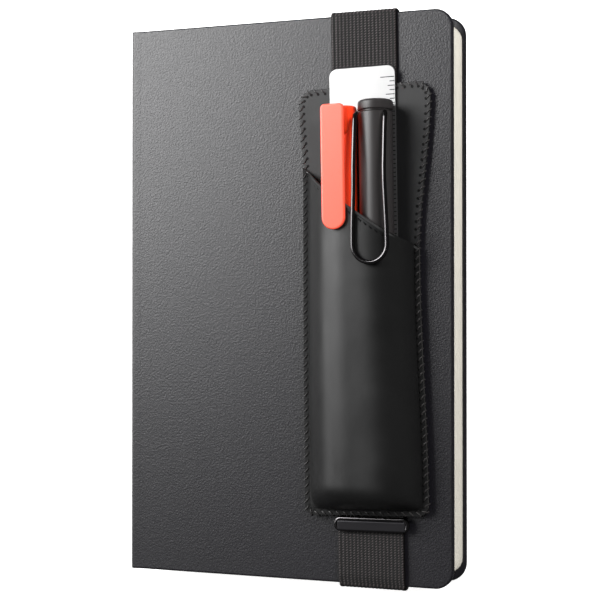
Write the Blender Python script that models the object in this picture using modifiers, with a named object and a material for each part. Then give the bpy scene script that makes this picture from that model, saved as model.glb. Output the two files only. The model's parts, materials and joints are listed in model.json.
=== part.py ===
"""Pocket notebook with an elastic pen pouch on its front cover.

The book lies flat on its back cover. X runs from the spine to the fore-edge, Y from the tail to
the head, and Z up through the pages. The origin is the middle of the footprint, on the surface.
"""
import math

import bmesh
import bpy
from mathutils import Matrix, Vector

MM = 0.001

# The case: cover boards in leatherette, and the folds that join them to the spine.
COVER_WIDTH = 130 * MM
COVER_HEIGHT = 210 * MM
BOOK_THICKNESS = 20 * MM
COVER_THICKNESS = 2.4 * MM
SKIN = 0.4 * MM
BOARD = 1.4 * MM
TURN_IN = 2.6 * MM
CORNER_RADIUS = 7 * MM
EDGE_ROUND = 0.35 * MM
PLATE_GAP = 0.1 * MM
LINING = 0.2 * MM

# The pages: folded signatures sewn into one block, split at the middle opening.
SIGNATURES_EACH_SIDE = 7
SIGNATURE_GAP = 0.1 * MM
PAGE_OVERHANG = 1.2 * MM
HEAD_OVERHANG = 3.2 * MM
FLYLEAF = 0.15 * MM
STRAP_ROOM = 1.7 * MM
MULL = 0.3 * MM

# The pouch, its elastic and its slider.
LEATHER = 1.0 * MM
STRAP_WIDTH = 25.4 * MM
STRAP_THICKNESS = 1.2 * MM
STRAP_LIFT = 0.8 * MM
STRAP_MIDDLE = 33.0 * MM
LEAN = math.radians(0.9)
POUCH_TOP = 78.1 * MM
POUCH_BOTTOM = -79.2 * MM
POUCH_MIDDLE = 32 * MM
SEAM_MARGIN = 2.6 * MM
POUCH_RISE = 14.3 * MM
SLIDER_Y = -82.5 * MM
SLIDER_LENGTH = 5.6 * MM
SLIDER_WIRE = 0.85 * MM

# What the pouch holds.
RULER_WIDTH = 25.4 * MM
RULER_LENGTH = 160.6 * MM
RULER_THICKNESS = 0.8 * MM
RULER_TOP = 84.8 * MM
RULER_MIDDLE = 32.9 * MM
PEN_TAIL = -68 * MM
BLACK_CAP_RADIUS = 6.2 * MM
FINIAL_RADIUS = 6.4 * MM
BLACK_PEN_X = 40.2 * MM
RED_CAP_RADIUS = 5.75 * MM
RED_PEN_X = 26.5 * MM

ROUND_STEPS = 32

HALF_WIDTH = COVER_WIDTH / 2
HALF_HEIGHT = COVER_HEIGHT / 2
HALF_COVER = COVER_THICKNESS / 2
FOLD_X = -HALF_WIDTH + HALF_COVER
FOLD_CLEARANCE = HALF_COVER + PLATE_GAP
COVER_START = FOLD_X + FOLD_CLEARANCE
SPINE_INNER = -HALF_WIDTH + COVER_THICKNESS
BLOCK_START = SPINE_INNER + 0.5 * MM
BLOCK_END = HALF_WIDTH - PAGE_OVERHANG
BLOCK_HALF_HEIGHT = HALF_HEIGHT - HEAD_OVERHANG
BLOCK_LOW = COVER_THICKNESS + PLATE_GAP + FLYLEAF + PLATE_GAP
BLOCK_HIGH = BOOK_THICKNESS - COVER_THICKNESS - STRAP_ROOM - FLYLEAF - PLATE_GAP
SIGNATURE_PITCH = (BLOCK_HIGH - BLOCK_LOW) / (2 * SIGNATURES_EACH_SIDE)
LEAVES_HINGE = Vector((BLOCK_START - 0.4 * MM, 0, BOOK_THICKNESS / 2))
BACK_FOLD = Vector((FOLD_X, 0, HALF_COVER))
FRONT_FOLD = Vector((FOLD_X, 0, BOOK_THICKNESS - HALF_COVER))

STRAP_LOW = BOOK_THICKNESS + PLATE_GAP
POUCH_FLOOR = STRAP_LOW + STRAP_THICKNESS + PLATE_GAP
SEAM_LEVEL = POUCH_FLOOR + LEATHER + PLATE_GAP
RULER_LEVEL = POUCH_FLOOR + LEATHER + 0.2 * MM
PEN_REST = RULER_LEVEL + RULER_THICKNESS + 0.1 * MM
POUCH_FRONT = SEAM_LEVEL + POUCH_RISE + LEATHER

MODEL = bpy.data.collections.new("pocket_notebook")
CUTTERS = bpy.data.collections.new("cutters")


# ---------------------------------------------------------------- helpers

def clear_scene():
    for item in list(bpy.data.objects):
        bpy.data.objects.remove(item, do_unlink=True)
    bpy.context.scene.collection.children.link(MODEL)
    bpy.context.scene.collection.children.link(CUTTERS)


def make_material(name, colour, roughness, metallic=0.0):
    material = bpy.data.materials.new(name)
    material.use_nodes = True
    material.diffuse_color = (*colour, 1.0)
    shader = material.node_tree.nodes["Principled BSDF"]
    shader.inputs["Base Color"].default_value = (*colour, 1.0)
    shader.inputs["Roughness"].default_value = roughness
    shader.inputs["Metallic"].default_value = metallic
    return material


def add_object(name, data, finish):
    """Link a piece, with a material of its own: finish is (colour, roughness, metallic)."""
    piece = bpy.data.objects.new(name, data)
    MODEL.objects.link(piece)
    if finish is None:
        MODEL.objects.unlink(piece)
        CUTTERS.objects.link(piece)
        piece.hide_render = True
        piece.display_type = "WIRE"
    else:
        data.materials.append(make_material(name, *finish))
    return piece


def axis_empty(name, point, parent=None, lean=0.0):
    """An empty on a joint's axis. The point is given in the book's frame."""
    empty = bpy.data.objects.new(name, None)
    empty.empty_display_size = 10 * MM
    MODEL.objects.link(empty)
    empty["point"] = tuple(point)
    empty.location = Vector(point)
    if parent is not None:
        empty.parent = parent
        empty.location -= Vector(parent["point"])
    empty.rotation_euler[2] = lean
    return empty


def hang(piece, empty):
    """Parent a piece whose mesh is in the book's frame to an upright empty."""
    piece.parent = empty
    piece.location = -Vector(empty["point"])
    return piece


def attach(piece, empty):
    """Parent a piece whose mesh is in the empty's own frame."""
    piece.parent = empty
    return piece


def box_mesh(name, low, high):
    low = Vector(low)
    high = Vector(high)
    work = bmesh.new()
    bmesh.ops.create_cube(work, size=1.0)
    bmesh.ops.scale(work, vec=high - low, verts=work.verts)
    bmesh.ops.translate(work, vec=(low + high) / 2, verts=work.verts)
    mesh = bpy.data.meshes.new(name)
    work.to_mesh(mesh)
    work.free()
    return mesh


def add_box(name, low, high, finish):
    return add_object(name, box_mesh(name, low, high), finish)


def add_cylinder(name, centre, radius, length, finish):
    """A round rod along Y."""
    work = bmesh.new()
    turn = Matrix.Rotation(math.radians(90), 4, "X")
    bmesh.ops.create_cone(work, cap_ends=True, segments=ROUND_STEPS, radius1=radius,
                          radius2=radius, depth=length, matrix=Matrix.Translation(centre) @ turn)
    mesh = bpy.data.meshes.new(name)
    work.to_mesh(mesh)
    work.free()
    shade_round(mesh)
    return add_object(name, mesh, finish)


def shade_round(mesh):
    mesh.shade_smooth()
    mesh.set_sharp_from_angle(angle=math.radians(35))


def arc(centre, radius, start, end, steps):
    """Points along an arc in the plane, from angle start to angle end in degrees."""
    points = []
    for step in range(steps + 1):
        angle = math.radians(start + (end - start) * step / steps)
        points.append((centre[0] + radius * math.cos(angle), centre[1] + radius * math.sin(angle)))
    return points


def rounded_rectangle(low, high, radii, steps=6):
    """A closed outline, with radii for its corners in the order -x-y, +x-y, +x+y, -x+y."""
    corners = [(low[0], low[1], 1, 1, 180), (high[0], low[1], -1, 1, 270),
               (high[0], high[1], -1, -1, 0), (low[0], high[1], 1, -1, 90)]
    points = []
    for (x, y, side_x, side_y, start), radius in zip(corners, radii):
        if radius == 0:
            points.append((x, y))
        else:
            centre = (x + side_x * radius, y + side_y * radius)
            points.extend(arc(centre, radius, start, start + 90, steps))
    return points


def flat_curve(name, outlines, thickness):
    """A filled plane curve, extruded evenly to both sides of its plane."""
    curve = bpy.data.curves.new(name, "CURVE")
    curve.dimensions = "2D"
    curve.fill_mode = "BOTH"
    curve.extrude = thickness / 2
    for outline in outlines:
        spline = curve.splines.new("POLY")
        spline.points.add(len(outline) - 1)
        for point, (x, y) in zip(spline.points, outline):
            point.co = (x, y, 0, 1)
        spline.use_cyclic_u = True
    return curve


def plate(name, outlines, low, thickness, finish):
    """A flat plate from low to low + thickness, as a mesh in the book's frame."""
    guide = bpy.data.objects.new(name + "_outline", flat_curve(name, outlines, thickness))
    guide.location.z = low + thickness / 2
    return as_mesh(guide, name, finish)


def as_mesh(guide, name, finish, matrix=None):
    """Turn a curve object into a closed mesh object with its placement applied."""
    CUTTERS.objects.link(guide)
    bpy.context.view_layer.update()
    graph = bpy.context.evaluated_depsgraph_get()
    mesh = bpy.data.meshes.new_from_object(guide.evaluated_get(graph))
    mesh.transform(guide.matrix_world if matrix is None else matrix)
    work = bmesh.new()
    work.from_mesh(mesh)
    bmesh.ops.remove_doubles(work, verts=work.verts, dist=0.001 * MM)
    bmesh.ops.recalc_face_normals(work, faces=work.faces)
    work.to_mesh(mesh)
    work.free()
    mesh.materials.clear()
    bpy.data.objects.remove(guide, do_unlink=True)
    return add_object(name, mesh, finish)


def combine(piece, other, operation):
    """Cut another mesh from a piece, or join it on. The other stays among the cutters."""
    boolean = piece.modifiers.new(operation.lower(), "BOOLEAN")
    boolean.operation = operation
    boolean.solver = "EXACT"
    boolean.object = other
    return piece


def round_edges(piece, width, segments=2, angle=50):
    bevel = piece.modifiers.new("round_edges", "BEVEL")
    bevel.width = width
    bevel.segments = segments
    bevel.limit_method = "ANGLE"
    bevel.angle_limit = math.radians(angle)
    return piece


def turned(name, profile, finish):
    """A piece turned about Y. The profile lists (radius, height along Y), from the top down its
    outer side, and back up any bore."""
    mesh = bpy.data.meshes.new(name)
    points = [(radius, 0, height) for radius, height in profile]
    mesh.from_pydata(points, [(i, i + 1) for i in range(len(points) - 1)], [])
    piece = add_object(name, mesh, finish)
    screw = piece.modifiers.new("turn", "SCREW")
    screw.axis = "Z"
    screw.steps = ROUND_STEPS
    screw.render_steps = ROUND_STEPS
    screw.use_merge_vertices = True
    screw.merge_threshold = 0.00001
    screw.use_smooth_shade = True
    piece.rotation_euler[0] = math.radians(-90)
    return piece


# ---------------------------------------------------------------- finishes

LEATHERETTE = ((0.035, 0.035, 0.038), 0.5, 0.0)
GREYBOARD = ((0.32, 0.31, 0.29), 0.9, 0.0)
CREAM_PAPER = ((0.82, 0.78, 0.68), 0.85, 0.0)
BLACK_PAPER = ((0.05, 0.05, 0.052), 0.8, 0.0)
MULL_CLOTH = ((0.75, 0.74, 0.70), 0.95, 0.0)
POUCH_LEATHER = ((0.028, 0.028, 0.03), 0.42, 0.0)
ELASTIC = ((0.03, 0.028, 0.028), 0.85, 0.0)
BLACK_NICKEL = ((0.06, 0.06, 0.065), 0.2, 1.0)
STEEL = ((0.75, 0.76, 0.78), 0.3, 1.0)
BLACK_BARREL = ((0.04, 0.04, 0.042), 0.35, 0.0)
INK_BLUE = ((0.02, 0.04, 0.25), 0.3, 0.0)
CORAL = ((0.9, 0.16, 0.1), 0.4, 0.0)
FIBRE = ((0.6, 0.1, 0.08), 0.9, 0.0)


# ---------------------------------------------------------------- the case

def cover_outline(inset, spine_inset):
    low = (COVER_START + spine_inset, -HALF_HEIGHT + inset)
    high = (HALF_WIDTH - inset, HALF_HEIGHT - inset)
    radius = CORNER_RADIUS - inset
    return rounded_rectangle(low, high, (0, radius, radius, 0))


def cover_skin(name, outer_level, inward):
    """Leatherette over a board: an outer face, wrapped edges and a turn-in lip."""
    def levels(start, end):
        low = min(outer_level + inward * start, outer_level + inward * end)
        return low, abs(end - start)

    low, depth = levels(0, COVER_THICKNESS)
    skin = plate(name, [cover_outline(0, 0)], low, depth, LEATHERETTE)
    round_edges(skin, EDGE_ROUND)
    low, depth = levels(SKIN, SKIN + BOARD + 2 * PLATE_GAP)
    board_room = plate(name + "_board_room", [cover_outline(SKIN, SKIN)], low, depth, None)
    combine(skin, board_room, "DIFFERENCE")
    low, depth = levels(SKIN + BOARD, COVER_THICKNESS + 1 * MM)
    lip_room = plate(name + "_lip_room", [cover_outline(TURN_IN, TURN_IN)], low, depth, None)
    combine(skin, lip_room, "DIFFERENCE")
    return skin


def case_cover(side, outer_level, inward):
    """The skin, board and pastedown of one cover. Inward points at the pages."""
    skin = cover_skin(side + "_cover_skin", outer_level, inward)
    near = outer_level + inward * (SKIN + PLATE_GAP)
    far = near + inward * BOARD
    inset = SKIN + PLATE_GAP
    board = plate(side + "_cover_board", [cover_outline(inset, inset)], min(near, far), BOARD,
                  GREYBOARD)
    near = far + inward * PLATE_GAP
    far = near + inward * LINING
    inset = TURN_IN + PLATE_GAP
    pastedown = plate(side + "_pastedown", [cover_outline(inset, inset)], min(near, far), LINING,
                      CREAM_PAPER)
    return [skin, board, pastedown]


def spine_pieces():
    """The spine strip: leatherette on the outside and the two ends, and a board inside."""
    bottom = BACK_FOLD.z + FOLD_CLEARANCE
    top = FRONT_FOLD.z - FOLD_CLEARANCE
    skin = add_box("spine_skin", (-HALF_WIDTH, -HALF_HEIGHT, bottom),
                   (SPINE_INNER, HALF_HEIGHT, top), LEATHERETTE)
    room = add_box("spine_board_room", (-HALF_WIDTH + SKIN, -HALF_HEIGHT + SKIN, bottom + SKIN),
                   (SPINE_INNER + 1 * MM, HALF_HEIGHT - SKIN, top - SKIN), None)
    combine(skin, room, "DIFFERENCE")
    inset = SKIN + PLATE_GAP
    board = add_box("spine_board", (-HALF_WIDTH + inset, -HALF_HEIGHT + inset, bottom + inset),
                    (SPINE_INNER, HALF_HEIGHT - inset, top - inset), GREYBOARD)
    return [skin, board]


def fold(name, point):
    """The leatherette folded round the gap between a cover board and the spine board."""
    return add_cylinder(name, point, HALF_COVER, COVER_HEIGHT, LEATHERETTE)


# ---------------------------------------------------------------- the pages

def page_outline():
    low = (BLOCK_START, -BLOCK_HALF_HEIGHT)
    high = (BLOCK_END, BLOCK_HALF_HEIGHT)
    radius = CORNER_RADIUS - PAGE_OVERHANG
    return rounded_rectangle(low, high, (0, radius, radius, 0))


def signatures(side, first):
    """One side's folded signatures, from the lowest up."""
    pieces = []
    for index in range(SIGNATURES_EACH_SIDE):
        low = BLOCK_LOW + (first + index) * SIGNATURE_PITCH
        pieces.append(plate(f"{side}_signature_{index + 1}", [page_outline()], low,
                            SIGNATURE_PITCH - SIGNATURE_GAP, CREAM_PAPER))
    return pieces


def flyleaf(name, low):
    return plate(name, [page_outline()], low, FLYLEAF, CREAM_PAPER)


def mull(name, low, high):
    """The cloth glued over the folds of the signatures, one strip for each half."""
    outer = BLOCK_START - 0.05 * MM
    return add_box(name, (outer - MULL, -BLOCK_HALF_HEIGHT + 8 * MM, low),
                   (outer, BLOCK_HALF_HEIGHT - 8 * MM, high), MULL_CLOTH)


# ---------------------------------------------------------------- the pouch

def leaning_x(middle, y):
    """Where a line that leans with the strap is at a height: middle is its X at Y = 0."""
    return middle - y * math.tan(LEAN)


def edge_run(y, steps):
    """How far Y is along a list of (Y, value) stations, joined smoothly."""
    for (low, start), (high, end) in zip(steps, steps[1:]):
        if y <= high:
            part = min(max((y - low) / (high - low), 0.0), 1.0)
            return start + (end - start) * part * part * (3 - 2 * part)
    return steps[-1][1]


LEFT_EDGE = [(-80 * MM, 9.3 * MM), (0, 8.65 * MM), (42 * MM, 8.6 * MM), (72 * MM, 6.6 * MM)]
RIGHT_EDGE = [(-80 * MM, 56.6 * MM), (18 * MM, 53.4 * MM), (74 * MM, 57.5 * MM)]
FOOT_RADIUS = 3.5 * MM
HEAD_RADIUS = 5.5 * MM


def foot_line(x):
    return POUCH_BOTTOM + 0.03 * (x - POUCH_MIDDLE)


def head_line(x):
    return POUCH_TOP + 0.02 * (x - POUCH_MIDDLE)


def mouth_line(x):
    """The slanting top edge of the front panel."""
    return 48.6 * MM - 0.69 * (x - 8.6 * MM)


def corner_inset(distance, radius):
    """How far a rounded corner pulls the side in, at a distance from the end edge."""
    if distance >= radius:
        return 0.0
    reach = radius - max(distance, 0.0)
    return radius - math.sqrt(radius * radius - reach * reach)


def panel_side(y, stations, side):
    """X of the left (-1) or right (+1) edge, with the rounded foot corner."""
    x = edge_run(y, stations)
    return x - side * corner_inset(y - foot_line(x), FOOT_RADIUS)


def back_panel():
    """The panel against the cover, as one flat outline with rounded corners."""
    points = []
    for stations, side in ((RIGHT_EDGE, 1), (LEFT_EDGE, -1)):
        column = []
        edge = stations[-1][1]
        foot = foot_line(edge)
        head = head_line(edge)
        heights = [foot + FOOT_RADIUS * (1 - math.cos(math.radians(a))) for a in range(0, 91, 15)]
        heights += [foot + FOOT_RADIUS + (head - HEAD_RADIUS - foot - FOOT_RADIUS) * i / 14
                    for i in range(1, 14)]
        for y in heights:
            column.append((panel_side(y, stations, side), y))
        for angle in range(0, 91, 15):
            y = head - HEAD_RADIUS + HEAD_RADIUS * math.sin(math.radians(angle))
            x = edge_run(y, stations) - side * HEAD_RADIUS * (1 - math.cos(math.radians(angle)))
            column.append((x, y))
        points += column if side == 1 else column[::-1]
    return plate("pouch_back_panel", [points], POUCH_FLOOR, LEATHER, POUCH_LEATHER)


def bulge(x, y):
    """Height of the front panel's inner face above its seam."""
    left = panel_side(y, LEFT_EDGE, -1)
    right = panel_side(y, RIGHT_EDGE, 1)
    across = abs(x - (left + right) / 2) / ((right - left) / 2 - SEAM_MARGIN)
    foot_start = -60 * MM
    foot_end = foot_line(x) + SEAM_MARGIN
    down = min(max((foot_start - y) / (foot_start - foot_end), 0.0), 1.0)
    return POUCH_RISE * max(1 - across ** 5, 0.0) * (1 - down ** 3)


def front_panel():
    """The domed panel over the pens: a grid shaped by bulge(), thickened outward."""
    columns = 26
    rows = 22
    work = bmesh.new()
    bmesh.ops.create_grid(work, x_segments=columns, y_segments=rows, size=1.0)
    for vertex in work.verts:
        across = math.sin(vertex.co.x * math.pi / 2)
        along = (1 - math.cos((vertex.co.y + 1) * math.pi / 2)) / 2
        y = POUCH_BOTTOM
        for _ in range(12):
            left = panel_side(y, LEFT_EDGE, -1)
            right = panel_side(y, RIGHT_EDGE, 1)
            x = (left + right) / 2 + across * (right - left) / 2
            y = foot_line(x) + along * (mouth_line(x) - foot_line(x))
        vertex.co = (x, y, SEAM_LEVEL + bulge(x, y))
    mesh = bpy.data.meshes.new("pouch_front_panel")
    work.to_mesh(mesh)
    work.free()
    shade_round(mesh)
    panel = add_object("pouch_front_panel", mesh, POUCH_LEATHER)
    solidify = panel.modifiers.new("leather", "SOLIDIFY")
    solidify.thickness = LEATHER
    solidify.offset = 1.0
    return panel


def strap_loop(out):
    """The elastic's section along the book: (Y, Z) points, out from its inner side."""
    end = HALF_HEIGHT + 2 * PLATE_GAP + out
    low = BOOK_THICKNESS - COVER_THICKNESS - PLATE_GAP - out
    high = STRAP_LOW + out
    radius = 0.5 * MM + out
    slider_run = [(-79.9 * MM, 0), (-81.4 * MM, 1), (-103.4 * MM, 1)]
    points = arc((-end + radius, low + radius), radius, 180, 270, 5)
    points += arc((end - radius, low + radius), radius, 270, 360, 5)
    points += arc((end - radius, high - radius), radius, 0, 90, 5)
    points += [(y, high + STRAP_LIFT * lifted) for y, lifted in slider_run]
    points += arc((-end + radius, high - radius), radius, 90, 180, 5)
    return points


def elastic_strap():
    """A closed band round the front cover, lifted a little where the slider runs."""
    guide = bpy.data.objects.new("strap_outline", flat_curve(
        "strap", [strap_loop(STRAP_THICKNESS), strap_loop(0)], STRAP_WIDTH))
    stand = Matrix(((0, 0, 1, STRAP_MIDDLE), (1, 0, 0, 0), (0, 1, 0, 0), (0, 0, 0, 1)))
    lean = Matrix.Identity(4)
    lean[0][1] = -math.tan(LEAN)
    return as_mesh(guide, "elastic_strap", ELASTIC, lean @ stand)


def strap_slider():
    """A wire frame over the elastic, with a flat bar across it and a bridge underneath.

    Its own frame has X across the strap and Y along it."""
    half = STRAP_WIDTH / 2 + 0.35 * MM + SLIDER_WIRE
    level = STRAP_LOW + STRAP_LIFT + STRAP_THICKNESS + 0.15 * MM + SLIDER_WIRE
    end = SLIDER_LENGTH / 2 - SLIDER_WIRE
    curve = bpy.data.curves.new("slider_wire", "CURVE")
    curve.dimensions = "3D"
    curve.bevel_depth = SLIDER_WIRE
    curve.bevel_resolution = 2
    outline = rounded_rectangle((-half, -end), (half, end), (1.8 * MM,) * 4, 4)
    spline = curve.splines.new("POLY")
    spline.points.add(len(outline) - 1)
    for point, (x, y) in zip(spline.points, outline):
        point.co = (x, y, level, 1)
    spline.use_cyclic_u = True
    frame = as_mesh(bpy.data.objects.new("slider_wire", curve), "strap_slider", BLACK_NICKEL)
    bar = add_box("slider_bar", (-half, -end - 0.35 * MM, level - 0.6 * MM),
                  (half, 0.9 * MM, level + 0.3 * MM), None)
    combine(frame, bar, "UNION")
    low = STRAP_LOW + 0.1 * MM
    wall = 0.7 * MM
    outline = [(-half - wall / 2, low), (half + wall / 2, low), (half + wall / 2, level),
               (half - wall / 2, level), (half - wall / 2, low + 0.5 * MM),
               (-half + wall / 2, low + 0.5 * MM), (-half + wall / 2, level),
               (-half - wall / 2, level)]
    guide = bpy.data.objects.new("bridge_outline", flat_curve("bridge", [outline], 2.5 * MM))
    stand = Matrix.Rotation(math.radians(90), 4, "X")
    bridge = as_mesh(guide, "slider_bridge", None, stand)
    combine(frame, bridge, "UNION")
    return [frame, bar, bridge]


# ---------------------------------------------------------------- ruler and pens

def steel_ruler():
    """In its own frame: X across, Y along, with its top at Y = 0 and its back at Z = 0."""
    outline = rounded_rectangle((-RULER_WIDTH / 2, -RULER_LENGTH), (RULER_WIDTH / 2, 0),
                                (3 * MM,) * 4, 5)
    return plate("steel_ruler", [outline], 0, RULER_THICKNESS, STEEL)


def millimetres(profile):
    return [(radius * MM, height * MM) for radius, height in profile]


def black_pen_body():
    """Barrel, grip, feed, nib and cartridge, with Y up from the tail and the axis at X = Z = 0."""
    barrel = turned("black_pen_barrel", millimetres([
        (3.9, 79), (5.25, 79), (5.3, 72), (5.95, 71.6), (5.9, 55), (5.6, 12), (5.3, 3), (4.3, 0.8),
        (2.6, 0), (0, 0), (0, 14), (3.9, 14), (3.9, 79)]), BLACK_BARREL)
    grip = turned("black_pen_grip", millimetres([
        (2.3, 106), (4.0, 106), (4.4, 104.5), (4.6, 90), (5.2, 83), (5.2, 79.4), (2.3, 79.4),
        (2.3, 106)]), BLACK_BARREL)
    feed = turned("black_pen_feed", millimetres([
        (0, 122), (0.7, 121.5), (1.6, 112), (1.9, 104), (1.9, 86), (0, 86)]), BLACK_BARREL)
    nib_outline = [(-2.6, 106.4), (2.6, 106.4), (3.1, 112), (2.0, 119), (0.35, 127.5),
                   (-0.35, 127.5), (-2.0, 119), (-3.1, 112)]
    nib = plate("black_pen_nib", [millimetres(nib_outline)], 2.2 * MM, 0.4 * MM, STEEL)
    cartridge = turned("black_pen_cartridge", millimetres([
        (0, 77), (1.4, 77), (1.6, 74), (3.5, 72), (3.5, 22), (2.8, 20), (0, 20)]), INK_BLUE)
    return [barrel, grip, feed, nib, cartridge]


BLACK_CLIP_REACH = POUCH_FRONT - PEN_REST - FINIAL_RADIUS + 1.1 * MM


def black_pen_clip():
    """A round wire bent to a long U: out from under the finial, and down in front of the cap."""
    wire = 0.9 * MM
    leg = 5.0 * MM
    foot = 5.9 * MM
    foot_middle = 87.4 * MM
    half = [(leg, 133.6 * MM, 5.6 * MM), (leg, 132.4 * MM, 7.0 * MM)]
    half += [(leg, 129.5 * MM, BLACK_CLIP_REACH - 0.3 * MM), (leg, 125 * MM, BLACK_CLIP_REACH)]
    half += [(leg, 108 * MM, BLACK_CLIP_REACH), (leg + 0.45 * MM, 96 * MM, BLACK_CLIP_REACH)]
    for angle in range(0, 91, 15):
        turn = math.radians(angle)
        half.append((foot * math.cos(turn), foot_middle - foot * math.sin(turn),
                     BLACK_CLIP_REACH))
    path = half + [(-x, y, z) for x, y, z in half[-2::-1]]
    curve = bpy.data.curves.new("black_pen_clip", "CURVE")
    curve.dimensions = "3D"
    curve.bevel_depth = wire
    curve.bevel_resolution = 2
    curve.use_fill_caps = True
    spline = curve.splines.new("POLY")
    spline.points.add(len(path) - 1)
    for point, (x, y, z) in zip(spline.points, path):
        point.co = (x, y, z, 1)
    clip = as_mesh(bpy.data.objects.new("clip_wire", curve), "black_pen_clip", BLACK_NICKEL)
    shade_round(clip.data)
    return clip


def black_pen_cap():
    """Cap, finial and wire clip, in the same frame as the pen's body."""
    radius = BLACK_CAP_RADIUS / MM
    cap = turned("black_pen_cap", millimetres([
        (2.3, 135.0), (radius - 0.3, 135.0), (radius, 134.7), (radius, 73.0), (radius - 0.3, 72.3),
        (5.6, 72.3), (5.6, 133.0), (2.3, 133.0), (2.3, 135.0)]), BLACK_BARREL)
    rim = FINIAL_RADIUS / MM
    finial = turned("black_pen_finial", millimetres([
        (0, 139.6), (4.6, 139.5), (6.0, 139.1), (rim, 138.2), (rim, 135.7), (6.1, 135.4),
        (2.0, 135.4), (2.0, 131.0), (0, 131.0)]), BLACK_BARREL)
    return [cap, finial, black_pen_clip()]


def red_pen_body():
    barrel = turned("red_pen_barrel", millimetres([
        (3.9, 83), (4.6, 83), (4.7, 78), (5.4, 77.6), (5.4, 5.5), (5.2, 5.0), (4.2, 5.0),
        (4.2, 78), (3.9, 78), (3.9, 83)]), CORAL)
    plug = turned("red_pen_end_plug", millimetres([
        (0, 11), (3.9, 11), (3.9, 4.6), (5.2, 4.6), (5.2, 1.5), (4.4, 0.3), (0, 0)]), CORAL)
    tip = turned("red_pen_tip", millimetres([
        (0, 101), (0.5, 100.6), (0.8, 98), (1.4, 97.6), (1.7, 93), (3.3, 88), (3.6, 80.5),
        (0, 80.5)]), FIBRE)
    reservoir = turned("red_pen_reservoir", millimetres([
        (0, 77), (3.7, 77), (3.7, 13), (0, 13)]), FIBRE)
    return [barrel, plug, tip, reservoir]


RED_CLIP_GAP = POUCH_FRONT - PEN_REST - RED_CAP_RADIUS + 0.2 * MM


def red_pen_cap():
    """A round cap moulded in one piece with its broad flat clip."""
    radius = RED_CAP_RADIUS / MM
    cap = turned("red_pen_cap", millimetres([
        (0, 137.6), (radius - 0.6, 137.6), (radius, 137.0), (radius, 79.0), (radius - 0.3, 78.3),
        (4.95, 78.3), (4.95, 134.0), (0, 134.0)]), CORAL)
    half = 4.4 * MM
    top = 137.6 * MM
    outline = rounded_rectangle((-half, 92.5 * MM), (half, top), (half, half, 1.2 * MM, 1.2 * MM))
    clip = plate("red_clip_blade", [outline], RED_CLIP_GAP, 1.5 * MM, None)
    neck = add_box("red_clip_neck", (-half + 0.4 * MM, 127.5 * MM, 2 * MM),
                   (half - 0.4 * MM, top - 0.3 * MM, RED_CLIP_GAP + 0.8 * MM), None)
    return cap, [clip, neck]


# ---------------------------------------------------------------- assembly

def build_case_and_pages():
    case_cover("back", 0, 1)
    fold("back_joint_fold", BACK_FOLD)
    flyleaf("back_flyleaf", COVER_THICKNESS + PLATE_GAP)
    signatures("back", 0)
    mull("back_mull", BLOCK_LOW, LEAVES_HINGE.z - 0.9 * MM)

    leaves = axis_empty("leaves_turn_axis", LEAVES_HINGE)
    for piece in signatures("front", SIGNATURES_EACH_SIDE):
        hang(piece, leaves)
    hang(mull("front_mull", LEAVES_HINGE.z + 0.4 * MM, BLOCK_HIGH), leaves)

    spine = axis_empty("spine_flex_axis", BACK_FOLD)
    for piece in spine_pieces():
        hang(piece, spine)
    front_fold = axis_empty("front_fold_axis", FRONT_FOLD, spine)
    hang(fold("front_joint_fold", FRONT_FOLD), front_fold)
    hang(flyleaf("front_flyleaf", BLOCK_HIGH + PLATE_GAP), front_fold)
    cover = axis_empty("cover_open_axis", FRONT_FOLD, front_fold)
    for piece in case_cover("front", BOOK_THICKNESS, -1):
        hang(piece, cover)
    for cutter in CUTTERS.objects:
        if cutter.name.startswith("front_"):
            hang(cutter, cover)
        elif cutter.name.startswith("spine_"):
            hang(cutter, spine)
    return cover


def build_pouch(cover):
    pouch = axis_empty("pouch_slide_axis", (STRAP_MIDDLE, 0, BOOK_THICKNESS), cover)
    for piece in (back_panel(), front_panel(), elastic_strap()):
        hang(piece, pouch)
    slider_point = (leaning_x(STRAP_MIDDLE, SLIDER_Y), SLIDER_Y, 0)
    slider = axis_empty("slider_axis", slider_point, pouch, LEAN)
    for piece in strap_slider():
        attach(piece, slider)
    ruler_point = (leaning_x(RULER_MIDDLE, RULER_TOP), RULER_TOP, RULER_LEVEL)
    attach(steel_ruler(), axis_empty("ruler_axis", ruler_point, pouch, LEAN))
    return pouch


def pen_axis(name, x, radius, parent):
    return axis_empty(name, (leaning_x(x, PEN_TAIL), PEN_TAIL, PEN_REST + radius), parent, LEAN)


def build_pens(pouch):
    black = pen_axis("black_pen_axis", BLACK_PEN_X, FINIAL_RADIUS, pouch)
    for piece in black_pen_body() + black_pen_cap():
        attach(piece, black)
    red = pen_axis("red_pen_axis", RED_PEN_X, RED_CAP_RADIUS, pouch)
    cap, additions = red_pen_cap()
    for piece in red_pen_body() + [cap] + additions:
        attach(piece, red)
    for addition in additions:
        union = cap.modifiers.new(addition.name, "BOOLEAN")
        union.operation = "UNION"
        union.solver = "EXACT"
        union.object = addition


def main():
    clear_scene()
    cover = build_case_and_pages()
    pouch = build_pouch(cover)
    build_pens(pouch)


main()
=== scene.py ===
import json
import math
import random

import bmesh
import bpy
from mathutils import Matrix, Vector, noise


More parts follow.
